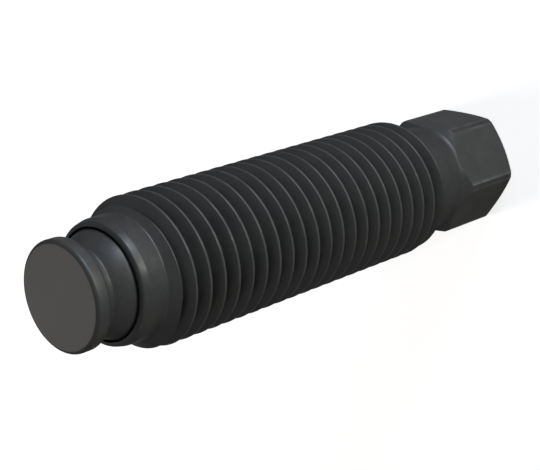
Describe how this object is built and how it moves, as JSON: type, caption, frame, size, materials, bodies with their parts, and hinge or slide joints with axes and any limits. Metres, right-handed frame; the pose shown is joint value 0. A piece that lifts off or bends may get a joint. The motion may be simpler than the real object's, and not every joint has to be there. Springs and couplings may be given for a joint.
{
  "type": "ball thrust screw",
  "caption": "Threaded clamping screw with a hexagon drive at one end and a swivelling ball-mounted thrust pad at the other.",
  "frame": {"origin": "centre of the hexagon's end face, which the screw stands on", "axes": "+Z along the screw's axis, from the hexagon up to the pad's clamping face; +X out of a corner of the hexagon and +Y out of a flat"},
  "size_m": [0.02, 0.02, 0.0824],
  "materials": {
    "screw_steel": "black oxide, satin",
    "pad_steel": "black oxide, satin"
  },
  "bodies": {
    "screw": {"screw_body": "screw_steel"},
    "pad": {"thrust_pad": "pad_steel"}
  },
  "joints": [
    {"name": "pad_tilt", "type": "hinge", "parent": "screw", "child": "pad", "pos_m": [0, 0, 0.0736], "axis": [1, 0, 0], "range_deg": [-24, 24]}
  ]
}
